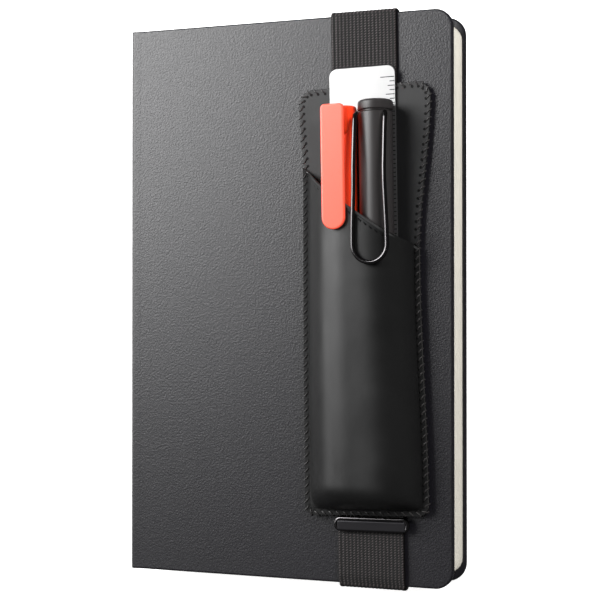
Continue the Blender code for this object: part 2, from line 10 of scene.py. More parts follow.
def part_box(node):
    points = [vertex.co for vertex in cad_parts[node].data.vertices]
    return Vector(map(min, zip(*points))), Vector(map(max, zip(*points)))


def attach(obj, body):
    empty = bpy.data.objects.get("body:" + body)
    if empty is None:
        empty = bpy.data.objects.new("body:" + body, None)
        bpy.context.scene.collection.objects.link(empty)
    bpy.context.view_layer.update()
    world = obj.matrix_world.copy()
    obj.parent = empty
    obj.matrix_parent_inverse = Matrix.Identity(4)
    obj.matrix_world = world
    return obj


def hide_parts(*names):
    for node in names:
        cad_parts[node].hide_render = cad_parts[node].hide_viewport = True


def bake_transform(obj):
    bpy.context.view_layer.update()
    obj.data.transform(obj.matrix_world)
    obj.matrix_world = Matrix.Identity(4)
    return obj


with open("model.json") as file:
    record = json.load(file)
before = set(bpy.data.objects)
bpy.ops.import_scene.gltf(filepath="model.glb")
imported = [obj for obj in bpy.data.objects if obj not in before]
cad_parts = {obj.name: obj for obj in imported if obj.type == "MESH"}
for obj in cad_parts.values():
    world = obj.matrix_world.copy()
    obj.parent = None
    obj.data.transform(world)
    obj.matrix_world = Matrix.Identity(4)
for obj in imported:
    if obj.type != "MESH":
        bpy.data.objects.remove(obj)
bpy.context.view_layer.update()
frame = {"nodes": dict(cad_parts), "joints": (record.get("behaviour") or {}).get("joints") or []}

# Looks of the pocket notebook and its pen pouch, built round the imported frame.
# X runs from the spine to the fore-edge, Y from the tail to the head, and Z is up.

MM = 0.001
scene = bpy.context.scene

slide = [j for j in frame["joints"] if j["name"] == "ruler_draw"][0]["axis"]
LEAN = math.atan2(-slide[0], slide[1])
LENGTHWISE = Vector((-math.sin(LEAN), math.cos(LEAN), 0))

FRONT_LOW, FRONT_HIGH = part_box("front_cover_skin")
BACK_LOW, BACK_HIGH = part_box("back_cover_skin")
FOLD_LOW, FOLD_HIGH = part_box("front_joint_fold")
BACK_FOLD_LOW, BACK_FOLD_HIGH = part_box("back_joint_fold")
PANEL_LOW, PANEL_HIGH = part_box("pouch_back_panel")
POUCH_LOW, POUCH_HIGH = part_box("pouch_front_panel")


# ---------------------------------------------------------------- materials

RIB_PITCH = 1.42 * MM
CHEVRON_PITCH = 0.95            # mm along the band
RULING = 7 * MM                 # between the ruled lines of a page
RULED_LINE_HALF = 0.1 * MM
RULED_HALF_HEIGHT = 92 * MM
RULED_END = 58 * MM


class Finish:
    """A Principled material, and short calls for the nodes that feed it."""

    def __init__(self, name, colour, roughness, metallic=0.0, **sockets):
        self.material = bpy.data.materials.new(name)
        self.material.use_nodes = True
        self.tree = self.material.node_tree
        self.shader = self.tree.nodes["Principled BSDF"]
        self.set("Base Color", (*colour, 1.0))
        self.set("Roughness", roughness)
        self.set("Metallic", metallic)
        for socket, value in sockets.items():
            self.set(socket.replace("_", " "), value)

    def set(self, socket, value):
        """Give a shader input a plain value, or the output of a node."""
        target = self.shader.inputs[socket]
        if isinstance(value, bpy.types.NodeSocket):
            self.tree.links.new(value, target)
        else:
            target.default_value = value

    def node(self, kind, inputs=None, **settings):
        made = self.tree.nodes.new("ShaderNode" + kind)
        for key, value in settings.items():
            setattr(made, key, value)
        for key, value in (inputs or {}).items():
            if isinstance(value, bpy.types.NodeSocket):
                self.tree.links.new(value, made.inputs[key])
            else:
                made.inputs[key].default_value = value
        return made

    def place(self, stretch=(1, 1, 1)):
        """The point on the object, stretched along each axis."""
        source = self.node("TexCoord").outputs["Object"]
        return self.node("Mapping", {"Vector": source, "Scale": stretch}).outputs["Vector"]

    def noise(self, cell, detail=3.0, stretch=(1, 1, 1)):
        """Cloudy noise whose features are about cell across."""
        return self.node("TexNoise", {"Vector": self.place(stretch), "Scale": 1 / cell,
                                      "Detail": detail}).outputs["Fac"]

    def cells(self, cell, feature="F1"):
        return self.node("TexVoronoi", {"Vector": self.place(), "Scale": 1 / cell},
                         feature=feature).outputs["Distance"]

    def math(self, operation, first, second=0.0):
        return self.node("Math", {0: first, 1: second}, operation=operation).outputs[0]

    def between(self, amount, low, high, to_low=0.0, to_high=1.0):
        return self.node("MapRange", {"Value": amount, "From Min": low, "From Max": high,
                                      "To Min": to_low, "To Max": to_high}).outputs["Result"]

    def mix(self, amount, first, second):
        made = self.node("Mix", {"Factor": amount}, data_type="RGBA")
        for socket, value in ((made.inputs[6], first), (made.inputs[7], second)):
            if isinstance(value, bpy.types.NodeSocket):
                self.tree.links.new(value, socket)
            else:
                socket.default_value = (*value, 1.0)
        return made.outputs[2]

    def bump(self, height, strength, depth, below=None):
        inputs = {"Height": height, "Strength": strength, "Distance": depth}
        if below is not None:
            inputs["Normal"] = below
        return self.node("Bump", inputs).outputs["Normal"]


def leatherette():
    """Case covering: pebbled grain, a faint mottle, and a broad satin sheen."""
    finish = Finish("leatherette", (0.016, 0.016, 0.018), 0.32, Specular_IOR_Level=0.62)
    pebbles = finish.cells(0.62 * MM, "SMOOTH_F1")
    creases = finish.noise(0.55 * MM, 3.0)
    grain = finish.math("ADD", pebbles, creases)
    mottle = finish.noise(26 * MM, 4.0)
    speckle = finish.between(finish.noise(0.5 * MM, 2.0), 0.35, 0.7)
    dark = finish.mix(mottle, (0.003, 0.003, 0.003), (0.006, 0.006, 0.007))
    finish.set("Base Color", finish.mix(speckle, dark, (0.012, 0.011, 0.015)))
    finish.set("Roughness", finish.between(creases, 0.2, 0.8, 0.32, 0.45))
    finish.set("Normal", finish.bump(grain, 0.55, 0.09 * MM))
    return finish.material


def pouch_leather(name, colour, roughness, seam=None):
    """Smooth black leather with fine pores, duller where it is pressed down at a seam's level."""
    finish = Finish(name, colour, roughness, Specular_IOR_Level=0.5)
    clouds = finish.noise(14 * MM, 3.0)
    pores = finish.cells(0.42 * MM)
    lighter = tuple(channel * 1.7 for channel in colour)
    finish.set("Base Color", finish.mix(clouds, colour, lighter))
    rough = finish.between(clouds, 0.25, 0.75, roughness - 0.05, roughness + 0.07)
    if seam is not None:
        rise = finish.node("SeparateXYZ", {"Vector": finish.place()}).outputs["Z"]
        rough = finish.math("ADD", rough,
                            finish.between(rise, seam + 0.3 * MM, seam + 1.8 * MM, 0.4, 0.0))
    finish.set("Roughness", rough)
    swell = finish.bump(clouds, 0.25, 0.5 * MM)
    finish.set("Normal", finish.bump(pores, 0.12, 0.05 * MM, swell))
    return finish.material


def elastic():
    """Ribbed elastic. The UV map holds millimetres: across the band, and along it."""
    finish = Finish("elastic", (0.01, 0.01, 0.01), 0.6, Specular_IOR_Level=0.5)
    parts = finish.node("SeparateXYZ", {"Vector": finish.node("TexCoord").outputs["UV"]})
    across, along = parts.outputs["X"], parts.outputs["Y"]
    rib = finish.math("FRACT", finish.math("DIVIDE", across, RIB_PITCH / MM))
    side = finish.math("ABSOLUTE", finish.math("SUBTRACT", rib, 0.5))
    thread = finish.math("ADD", finish.math("DIVIDE", along, CHEVRON_PITCH), rib)
    chevron = finish.math("PINGPONG", thread, 0.5)
    crown = finish.between(side, 0.28, 0.14)
    lit = finish.math("MULTIPLY", finish.between(chevron, 0.2, 0.34), crown)
    fuzz = finish.noise(0.6 * MM, 3.0)
    # The rib crowns are painted lighter, a painted sheen on the threads, and the gaps between ribs
    # near-black, painted shade.
    shade = finish.mix(lit, (0.001, 0.001, 0.001), (0.058, 0.047, 0.047))
    finish.set("Base Color", finish.mix(finish.between(fuzz, 0.3, 0.8, 0.0, 0.5), shade,
                                        (0.012, 0.011, 0.011)))
    finish.set("Roughness", finish.between(lit, 0.0, 1.0, 0.8, 0.42))
    height = finish.math("ADD", lit, finish.math("MULTIPLY", fuzz, 0.3))
    finish.set("Normal", finish.bump(height, 0.8, 0.18 * MM))
    return finish.material


def thread():
    """Waxed black thread, with the twist of its strands."""
    finish = Finish("thread", (0.03, 0.028, 0.028), 0.42)
    strands = finish.noise(0.25 * MM, 2.0)
    finish.set("Base Color", finish.mix(strands, (0.003, 0.003, 0.003), (0.05, 0.046, 0.046)))
    finish.set("Normal", finish.bump(strands, 0.6, 0.08 * MM))
    return finish.material


def metal(name, colour, roughness, brushed=(1, 1, 1), grain=0.5, metallic=1.0):
    """Metal with fine scratches, drawn out along the axis that brushed makes short."""
    finish = Finish(name, colour, roughness, metallic)
    scratches = finish.noise(grain * MM, 4.0, brushed)
    finish.set("Base Color", finish.mix(scratches, tuple(0.88 * c for c in colour), colour))
    finish.set("Roughness", finish.between(scratches, 0.2, 0.8, roughness * 0.8, roughness * 1.25))
    finish.set("Normal", finish.bump(scratches, 0.05, 0.03 * MM))
    return finish.material


def plastic(name, colour, roughness, texture=0.06, **sockets):
    """Moulded plastic: a fine spark-eroded texture, and a little unevenness in its colour."""
    finish = Finish(name, colour, roughness, **sockets)
    flow = finish.noise(18 * MM, 2.0)
    spark = finish.noise(0.16 * MM, 2.0)
    finish.set("Base Color", finish.mix(flow, tuple(0.9 * c for c in colour), colour))
    finish.set("Roughness", finish.between(spark, 0.2, 0.8, roughness - 0.04, roughness + 0.05))
    finish.set("Normal", finish.bump(spark, texture, 0.04 * MM))
    return finish.material


def paper(name, colour, ruled=False):
    """Uncoated paper: fibres on the faces, fine layers at the edges, ruled lines if asked."""
    finish = Finish(name, colour, 0.85)
    fibres = finish.noise(0.9 * MM, 4.0)
    layers = finish.noise(7 * MM, 3.0, (1, 1, 42))
    tone = finish.mix(finish.between(layers, 0.35, 0.65), tuple(0.86 * c for c in colour), colour)
    tone = finish.mix(finish.math("MULTIPLY", fibres, 0.22), tone, tuple(0.7 * c for c in colour))
    if ruled:
        where = finish.node("SeparateXYZ", {"Vector": finish.place()})
        facing = finish.node("SeparateXYZ", {"Vector": finish.node("TexCoord").outputs["Normal"]})
        row = finish.math("PINGPONG", where.outputs["Y"], RULING / 2)
        line = finish.math("LESS_THAN", row, RULED_LINE_HALF)
        height = finish.math("ABSOLUTE", where.outputs["Y"])
        inside = finish.math("LESS_THAN", height, RULED_HALF_HEIGHT)
        flat = finish.math("GREATER_THAN", finish.math("ABSOLUTE", facing.outputs["Z"]), 0.9)
        inner = finish.math("LESS_THAN", where.outputs["X"], RULED_END)
        mark = finish.math("MULTIPLY", finish.math("MULTIPLY", line, inside),
                           finish.math("MULTIPLY", flat, inner))
        tone = finish.mix(finish.math("MULTIPLY", mark, 0.55), tone, (0.36, 0.38, 0.42))
    finish.set("Base Color", tone)
    finish.set("Normal", finish.bump(fibres, 0.2, 0.03 * MM))
    return finish.material


def cloth(name, colour):
    """Open-weave mull: threads crossing at right angles."""
    finish = Finish(name, colour, 0.9)
    where = finish.node("SeparateXYZ", {"Vector": finish.place()})
    warp = finish.math("PINGPONG", where.outputs["Y"], 0.5 * MM)
    weft = finish.math("PINGPONG", where.outputs["Z"], 0.5 * MM)
    weave = finish.math("MULTIPLY", finish.math("MAXIMUM", warp, weft), 2000.0)
    finish.set("Base Color", finish.mix(weave, tuple(0.5 * c for c in colour), colour))
    finish.set("Normal", finish.bump(weave, 0.6, 0.1 * MM))
    return finish.material


def board(name, colour):
    """Greyboard: pulp flecks in a matt grey."""
    finish = Finish(name, colour, 0.95)
    flecks = finish.between(finish.noise(0.8 * MM, 5.0), 0.45, 0.7)
    finish.set("Base Color", finish.mix(flecks, colour, tuple(0.55 * c for c in colour)))
    finish.set("Normal", finish.bump(flecks, 0.3, 0.06 * MM))
    return finish.material


LEATHERETTE = leatherette()
LEATHER = pouch_leather("pouch_leather", (0.0045, 0.0045, 0.0045), 0.42,
                        POUCH_LOW.z + 1.0 * MM)
LINING_LEATHER = pouch_leather("pouch_inner_leather", (0.005, 0.005, 0.0052), 0.52)
# The front panel's cut edge is painted lighter than its faces: a painted highlight along the lit
# edge.
CUT_EDGE_HIGHLIGHT = pouch_leather("pouch_cut_edge", (0.025, 0.024, 0.023), 0.45)
# The welt along the mouth is painted lighter than the panel: a painted highlight on its lit edge.
WELT_HIGHLIGHT = pouch_leather("mouth_welt", (0.02, 0.02, 0.02), 0.34)
ELASTIC = elastic()
THREAD = thread()
# Near-black discs set over the stitch holes: painted shade in the holes.
HOLE_SHADE = pouch_leather("stitch_hole", (0.0015, 0.0015, 0.0015), 0.9)
WIRE = metal("black_nickel", (0.11, 0.105, 0.108), 0.17)
BAR = metal("slider_bar", (0.03, 0.029, 0.032), 0.34, metallic=0.7)
RULER = metal("ruler_satin", (0.43, 0.43, 0.43), 0.36, (1, 0.06, 1), 0.3, 0.95)
INK_LINE = plastic("ruler_marks", (0.012, 0.012, 0.013), 0.95, Specular_IOR_Level=0.0)
STEEL = metal("nib_steel", (0.72, 0.71, 0.69), 0.2)
BARREL = plastic("black_barrel", (0.020, 0.018, 0.018), 0.42, Specular_IOR_Level=0.6)
CORAL = plastic("coral_plastic", (0.95, 0.10, 0.055), 0.30, 0.03, Subsurface_Weight=0.12,
                Subsurface_Scale=1.2 * MM, Specular_IOR_Level=0.85)
# A deeper copy of the coral plastic for the cap's tube and neck: painted shade on the cap's side.
CORAL_SHADED = plastic("coral_shaded", (0.90, 0.05, 0.012), 0.30, 0.03, Subsurface_Weight=0.12,
                      Subsurface_Scale=1.2 * MM, Specular_IOR_Level=0.85)
PAGES = paper("page_paper", (0.56, 0.535, 0.475), ruled=True)
ENDPAPER = paper("endpaper", (0.54, 0.515, 0.455))
MULL = cloth("mull_cloth", (0.72, 0.70, 0.64))
GREYBOARD = board("greyboard", (0.32, 0.31, 0.29))
INK = plastic("ink_cartridge", (0.015, 0.03, 0.24), 0.25, Transmission_Weight=0.3)
FIBRE = board("ink_fibre", (0.55, 0.06, 0.05))


# ---------------------------------------------------------------- mesh helpers

def piece(name, work, finish, body, replaced=(), sharp=40):
    """Turn a bmesh into a piece that rides on a body. With body None it is left on no body."""
    mesh = bpy.data.meshes.new(name)
    bmesh.ops.recalc_face_normals(work, faces=work.faces)
    work.to_mesh(mesh)
    work.free()
    mesh.shade_smooth()
    mesh.set_sharp_from_angle(angle=math.radians(sharp))
    mesh.materials.append(finish)
    made = bpy.data.objects.new(name, mesh)
    scene.collection.objects.link(made)
    if body is not None:
        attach(made, body)
    if replaced:
        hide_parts(*replaced)
    return made


def loft(work, rings, closed=False):
    """Quads between rings of as many points. Closed joins the last ring to the first."""
    rows = [[work.verts.new(point) for point in ring] for ring in rings]
    pairs = list(zip(rows, rows[1:]))
    if closed:
        pairs.append((rows[-1], rows[0]))
    for low, high in pairs:
        for index in range(len(low)):
            after = (index + 1) % len(low)
            work.faces.new((low[index], low[after], high[after], high[index]))
    if not closed:
        work.faces.new(rows[0][::-1])
        work.faces.new(rows[-1])
    return rows


def arc(centre, radius, start, end, steps):
    """Points of an arc in a plane, its angles in degrees."""
    points = []
    for step in range(steps + 1):
        turn = math.radians(start + (end - start) * step / steps)
        points.append((centre[0] + radius * math.cos(turn), centre[1] + radius * math.sin(turn)))
    return points


def rounded(low, high, radii, steps=8):
    """A rectangle with rounded corners, anticlockwise from the low corner."""
    corners = [(low[0], low[1], 180), (high[0], low[1], 270), (high[0], high[1], 0),
               (low[0], high[1], 90)]
    points = []
    for (x, y, start), radius in zip(corners, radii):
        centre = (x + radius if x == low[0] else x - radius,
                  y + radius if y == low[1] else y - radius)
        points += arc(centre, radius, start, start + 90, steps)
    return [point for point, before in zip(points, points[-1:] + points[:-1])
            if math.dist(point, before) > 0.001 * MM]


def pulled_in(points, inset):
    """A closed outline, anticlockwise, moved inward by a distance."""
    moved = []
    for index, point in enumerate(points):
        before = Vector(points[index - 1])
        after = Vector(points[(index + 1) % len(points)])
        run = (after - before).normalized()
        moved.append((point[0] - run.y * inset, point[1] + run.x * inset))
    return moved


FLAT_START = 1.4        # where a plate's flat face starts, in edge radii from its outline
CAP_REACH = 0.6         # how far a rod's domed end stands out, in radii
CAP_SHARE = 0.55        # the size of its last ring


def slab(work, outline, low, high, edge, recess=None, steps=4):
    """A plate with rounded edges. Recess is (inset, floor) of a sunken lower face."""
    rows = []
    if recess:
        rows += [(recess[0], recess[1]), (recess[0], low)]
    else:
        rows.append((FLAT_START * edge, low))
    quarter = [math.radians(90 * step / steps) for step in range(steps + 1)]
    rows += [(edge * (1 - math.sin(turn)), low + edge * (1 - math.cos(turn)))
             for turn in quarter]
    rows += [(edge * (1 - math.sin(turn)), high - edge * (1 - math.cos(turn)))
             for turn in quarter[::-1]]
    rows.append((FLAT_START * edge, high))
    loft(work, [[(x, y, z) for x, y in pulled_in(outline, inset)] for inset, z in rows])


def tube(work, path, radius, sides=10, closed=False):
    """A round bar along a path, with domed ends where it is open."""
    points = [Vector(point) for point in path]
    count = len(points)
    rings = []
    across = None
    for index, point in enumerate(points):
        if closed:
            run = points[(index + 1) % count] - points[index - 1]
        else:
            run = points[min(index + 1, count - 1)] - points[max(index - 1, 0)]
        run.normalize()
        if across is None:
            across = run.orthogonal()
        across = (across - run * across.dot(run)).normalized()
        over = run.cross(across)
        rings.append([point + (across * math.cos(2 * math.pi * k / sides)
                               + over * math.sin(2 * math.pi * k / sides)) * radius
                      for k in range(sides)])
    if not closed:
        for end, beside in ((0, 1), (-1, -2)):
            run = (points[end] - points[beside]).normalized()
            cap = [points[end] + run * radius * CAP_REACH + (corner - points[end]) * CAP_SHARE
                   for corner in rings[end]]
            rings = [cap] + rings if end == 0 else rings + [cap]
    loft(work, rings, closed)


AXIS_GAP = 1e-5         # keeps a ring's points on the axis apart until they are merged


def turned(work, profile, place, steps=96):
    """A closed profile of (radius, height along Y) turned about Y, then moved into place."""
    rings = []
    for step in range(steps):
        turn = 2 * math.pi * step / steps
        rings.append([place @ Vector((max(radius, AXIS_GAP) * math.cos(turn), height,
                                      max(radius, AXIS_GAP) * math.sin(turn)))
                      for radius, height in profile])
    loft(work, rings, closed=True)
    bmesh.ops.remove_doubles(work, verts=work.verts, dist=0.02 * MM)


def rounded_profile(corners, steps=4):
    """A closed profile through (radius, height, fillet) corners, its units millimetres."""
    points = []
    for index, (x, y, fillet) in enumerate(corners):
        here = Vector((x, y))
        if not fillet:
            points.append(here)
            continue
        before = Vector(corners[index - 1][:2])
        after = Vector(corners[(index + 1) % len(corners)][:2])
        start = here + (before - here).normalized() * fillet
        end = here + (after - here).normalized() * fillet
        for step in range(steps + 1):
            t = step / steps
            points.append(start * (1 - t) ** 2 + here * 2 * t * (1 - t) + end * t * t)
    return [(point.x * MM, point.y * MM) for point in points]


def lean_matrix(point):
    """A place whose Y lies along the strap's lean."""
    return Matrix.Translation(point) @ Matrix.Rotation(LEAN, 4, "Z")


# ---------------------------------------------------------------- the case

COVER_CORNER = 7 * MM
COVER_EDGE = 0.7 * MM
SPINE_CORNER = 0.3 * MM
TURN_IN = 2.6 * MM
TURN_IN_DEPTH = 0.5 * MM
FOLD_OVERLAP = 0.03 * MM
FOLD_REACH = 2.6 * MM
FOLD_DEPTH = 0.7 * MM
FLAT_STRETCH = 1.5              # the covers' flat side of a fold, against the spine's


def covers():
    """Both covers: a plate with rounded edges, its inner face sunk inside the turn-in."""
    for name, low, high, inner, sign, body in (
            ("front_cover_case", FRONT_LOW, FRONT_HIGH, FRONT_LOW.z, 1, "front_cover"),
            ("back_cover_case", BACK_LOW, BACK_HIGH, BACK_HIGH.z, -1, "back_cover")):
        corners = (SPINE_CORNER, COVER_CORNER, COVER_CORNER, SPINE_CORNER)
        work = bmesh.new()
        slab(work, rounded(low, high, corners, 12), 0, high.z - low.z, COVER_EDGE,
             (TURN_IN, TURN_IN_DEPTH))
        work.transform(Matrix.Translation((0, 0, inner)) @ Matrix.Diagonal((1, 1, sign, 1)))
        piece(name, work, LEATHERETTE, body, (body + "_skin",))


def fold_wrap(name, section):
    """Leatherette over a fold: a thin skin along the book, its two ends rounded off."""
    half = (FRONT_HIGH.y - FRONT_LOW.y) / 2
    stations = [(-half, 0.45 * MM), (-half + 0.15 * MM, 0.15 * MM), (-half + 0.5 * MM, 0.0),
                (-half + 0.9 * MM, 0.0)]
    stations += [(-y, inset) for y, inset in stations[::-1]]
    rings = []
    for y, inset in stations:
        outer = [(x - nx * inset, y, z - nz * inset) for x, z, nx, nz in section]
        inner = [(x - nx * FOLD_DEPTH, y, z - nz * FOLD_DEPTH) for x, z, nx, nz in section]
        rings.append(outer + inner[::-1])
    work = bmesh.new()
    loft(work, rings)
    made = piece(name, work, LEATHERETTE, None)
    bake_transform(made)


def fold_section(axis_x, axis_z, radius, start, end):
    """Points (x, z) with outward directions, round a fold between two angles in degrees."""
    section = []
    steps = max(4, int(abs(end - start) / 7.5))
    for step in range(steps + 1):
        turn = math.radians(start + (end - start) * step / steps)
        nx, nz = math.cos(turn), math.sin(turn)
        section.append((axis_x + nx * radius, axis_z + nz * radius, nx, nz))
    return section


def folds():
    """The leatherette over the two folds beside the spine, with a strip of the flats it joins."""
    radius = (FOLD_HIGH.z - FOLD_LOW.z) / 2 + FOLD_OVERLAP
    front = ((FOLD_LOW.x + FOLD_HIGH.x) / 2, (FOLD_LOW.z + FOLD_HIGH.z) / 2)
    back = ((BACK_FOLD_LOW.x + BACK_FOLD_HIGH.x) / 2, (BACK_FOLD_LOW.z + BACK_FOLD_HIGH.z) / 2)
    reach = [(k / 6) * FOLD_REACH for k in range(1, 7)]

    def dipped(amount):
        return amount ** 3 / FOLD_REACH ** 3 * 2 * FOLD_OVERLAP

    spine_side = [(front[0] - radius + dipped(step), front[1] - step, -1, 0)
                  for step in reach[::-1]]
    spine_side += fold_section(*front, radius, 180, 135)
    fold_wrap("front_fold_outer_skin", spine_side)
    cover_side = fold_section(*front, radius, 135, 90)
    cover_side += [(front[0] + step * FLAT_STRETCH, front[1] + radius - dipped(step), 0, 1)
                   for step in reach]
    fold_wrap("front_fold_cover_skin", cover_side)
    back_side = [(back[0] + step * FLAT_STRETCH, back[1] - radius + dipped(step), 0, -1)
                 for step in reach[::-1]]
    back_side += fold_section(*back, radius, 270, 180)
    back_side += [(back[0] - radius + dipped(step), back[1] + step, -1, 0) for step in reach]
    fold_wrap("back_fold_skin", back_side)


SIGNATURES = 7
LEAVES = 8              # folded leaves in a signature
LEAF_SHARE = 0.82       # of a leaf's pitch, the rest is the gap to the next
PAGE_CORNER = 5.8 * MM
PAGE_CREEP = 0.16       # mm by which the leaves' cut edges vary


def page_leaves():
    """Each signature as its own folded leaves, cut almost level at the three edges."""
    wobble = random.Random(11)
    corners = (0.05 * MM, PAGE_CORNER, PAGE_CORNER, 0.05 * MM)
    for side, body in (("back", "back_cover"), ("front", "front_leaves")):
        for index in range(1, SIGNATURES + 1):
            node = f"{side}_signature_{index}"
            low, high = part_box(node)
            pitch = (high.z - low.z) / LEAVES
            work = bmesh.new()
            for leaf in range(LEAVES):
                creep = wobble.uniform(0.0, PAGE_CREEP) * MM
                outline = rounded((low.x, low.y + creep), (high.x - creep, high.y - creep),
                                  corners, 6)
                base = low.z + leaf * pitch
                loft(work, [[(x, y, z) for x, y in outline]
                            for z in (base, base + LEAF_SHARE * pitch)])
            piece(f"{side}_leaves_{index}", work, PAGES, body, (node,))


# ---------------------------------------------------------------- the pouch

POUCH_MIDDLE = 32 * MM
LEFT_EDGE = [(-80 * MM, 9.3 * MM), (0, 8.65 * MM), (42 * MM, 8.6 * MM), (72 * MM, 6.6 * MM)]
RIGHT_EDGE = [(-80 * MM, 56.6 * MM), (18 * MM, 53.4 * MM), (74 * MM, 57.5 * MM)]
SIDE_ROWS = 60
GRID_ACROSS, GRID_ALONG = 110, 120
FOOT_RADIUS = 3.5 * MM
HEAD_RADIUS = 5.5 * MM
SEAM_MARGIN = 2.6 * MM
LEATHER_THICKNESS = PANEL_HIGH.z - PANEL_LOW.z
SEAM_LEVEL = POUCH_LOW.z
RISE = POUCH_HIGH.z - POUCH_LOW.z - LEATHER_THICKNESS
FOOT_LEVEL, FOOT_TILT = -79.2 * MM, 0.03
HEAD_LEVEL, HEAD_TILT = 78.1 * MM, 0.02
MOUTH_START, MOUTH_LEVEL, MOUTH_SLANT = 8.6 * MM, 48.6 * MM, -0.69
DOME_LEFT, DOME_RIGHT = 2.7, 4.6        # powers: the higher, the squarer the dome's shoulder
DOME_FOOT, DOME_FOOT_POWER = -66 * MM, 3.4
STITCH_PITCH = 2.8 * MM
STITCH_INSET = 1.8 * MM
HOLE_RADIUS = 0.55 * MM
THREAD_RADIUS = 0.27 * MM
MOUTH_STITCH_PITCH = 2.35 * MM
MOUTH_STITCH_HALF = 0.72 * MM


def station(y, stations):
    """The value at Y along (Y, value) stations, joined smoothly."""
    for (low, start), (high, end) in zip(stations, stations[1:]):
        if y <= high:
            part = min(max((y - low) / (high - low), 0.0), 1.0)
            return start + (end - start) * part * part * (3 - 2 * part)
    return stations[-1][1]


def foot_line(x):
    return FOOT_LEVEL + FOOT_TILT * (x - POUCH_MIDDLE)


def head_line(x):
    return HEAD_LEVEL + HEAD_TILT * (x - POUCH_MIDDLE)


def mouth_line(x):
    """The slanting top edge of the front panel."""
    return MOUTH_LEVEL + MOUTH_SLANT * (x - MOUTH_START)


def panel_side(y, stations, side):
    """X of the left (-1) or right (+1) edge, with its rounded foot corner."""
    x = station(y, stations)
    distance = y - foot_line(x)
    if distance >= FOOT_RADIUS:
        return x
    reach = FOOT_RADIUS - max(distance, 0.0)
    return x - side * (FOOT_RADIUS - math.sqrt(FOOT_RADIUS ** 2 - reach ** 2))


def panel_outline():
    """The pouch's whole outline, anticlockwise from its right foot corner."""
    points = []
    for stations, side in ((RIGHT_EDGE, 1), (LEFT_EDGE, -1)):
        edge = stations[-1][1]
        foot, head = foot_line(edge), head_line(edge)
        heights = [foot + FOOT_RADIUS * (1 - math.cos(math.radians(a)))
                   for a in range(0, 91, 9)]
        run = head - HEAD_RADIUS - foot - FOOT_RADIUS
        heights += [foot + FOOT_RADIUS + run * i / SIDE_ROWS for i in range(1, SIDE_ROWS)]
        column = [(panel_side(y, stations, side), y) for y in heights]
        for angle in range(0, 91, 9):
            turn = math.radians(angle)
            y = head - HEAD_RADIUS + HEAD_RADIUS * math.sin(turn)
            x = station(y, stations) - side * HEAD_RADIUS * (1 - math.cos(turn))
            column.append((x, y))
        points += column if side == 1 else column[::-1]
    return points


def dome(x, y):
    """Height of the front panel's inner face over its seam: fuller over the black pen."""
    left = panel_side(y, LEFT_EDGE, -1)
    right = panel_side(y, RIGHT_EDGE, 1)
    shift = (x - (left + right) / 2) / ((right - left) / 2 - SEAM_MARGIN)
    across = max(1 - abs(shift) ** (DOME_LEFT if shift < 0 else DOME_RIGHT), 0.0)
    foot_end = foot_line(x) + SEAM_MARGIN
    down = min(max((DOME_FOOT - y) / (DOME_FOOT - foot_end), 0.0), 1.0)
    softness = 0.12 * MM * noise.noise(Vector((x, y, 0)) / (17 * MM))
    return (RISE * across + softness * across) * (1 - down ** DOME_FOOT_POWER)


def front_level(x, y):
    """The outer face of the front panel."""
    return SEAM_LEVEL + dome(x, y) + LEATHER_THICKNESS


def panel_top(x, y):
    """The outer face at a point near the edge: front panel below the mouth, back above."""
    return front_level(x, y) if y < mouth_line(x) else PANEL_HIGH.z


def back_panel():
    """The flat panel against the cover, taller than the front one."""
    work = bmesh.new()
    slab(work, panel_outline(), PANEL_LOW.z, PANEL_HIGH.z, 0.28 * MM)
    piece("pouch_back", work, LINING_LEATHER, "pen_pouch",
          ("pouch_back_panel",))


def front_panel():
    """The domed panel: a grid between the seams, the foot and the slanting mouth."""
    work = bmesh.new()
    bmesh.ops.create_grid(work, x_segments=GRID_ACROSS, y_segments=GRID_ALONG, size=1.0)
    for vertex in work.verts:
        across = math.sin(vertex.co.x * math.pi / 2)
        along = (1 - math.cos((vertex.co.y + 1) * math.pi / 2)) / 2
        y = foot_line(POUCH_MIDDLE)
        for _ in range(12):
            left = panel_side(y, LEFT_EDGE, -1)
            right = panel_side(y, RIGHT_EDGE, 1)
            x = (left + right) / 2 + across * (right - left) / 2
            y = foot_line(x) + along * (mouth_line(x) - foot_line(x))
        vertex.co = (x, y, SEAM_LEVEL + dome(x, y))
    made = piece("pouch_front", work, LEATHER, "pen_pouch",
                 ("pouch_front_panel",), 60)
    if made.data.polygons[0].normal.z < 0:
        made.data.flip_normals()
    # The rim takes the lighter cut-edge colour, a painted highlight along the lit edge.
    made.data.materials.append(CUT_EDGE_HIGHLIGHT)
    thick = made.modifiers.new("leather", "SOLIDIFY")
    thick.thickness = LEATHER_THICKNESS
    thick.offset = 1.0
    thick.material_offset_rim = 1
    soften = made.modifiers.new("cut_edge", "BEVEL")
    soften.width = 0.2 * MM
    soften.segments = 2
    soften.limit_method = "ANGLE"
    soften.angle_limit = math.radians(50)


def along_outline(points, pitch):
    """Evenly spaced (point, run, inward) along a closed outline."""
    corners = [Vector(point) for point in points]
    lengths = [(corners[(i + 1) % len(corners)] - corners[i]).length
               for i in range(len(corners))]
    count = round(sum(lengths) / pitch)
    step = sum(lengths) / count
    found = []
    index, travelled = 0, 0.0
    for number in range(count):
        target = (number + 0.5) * step
        while travelled + lengths[index] < target:
            travelled += lengths[index]
            index += 1
        start, end = corners[index], corners[(index + 1) % len(corners)]
        run = (end - start).normalized()
        found.append((start + run * (target - travelled), run, Vector((-run.y, run.x))))
    return found


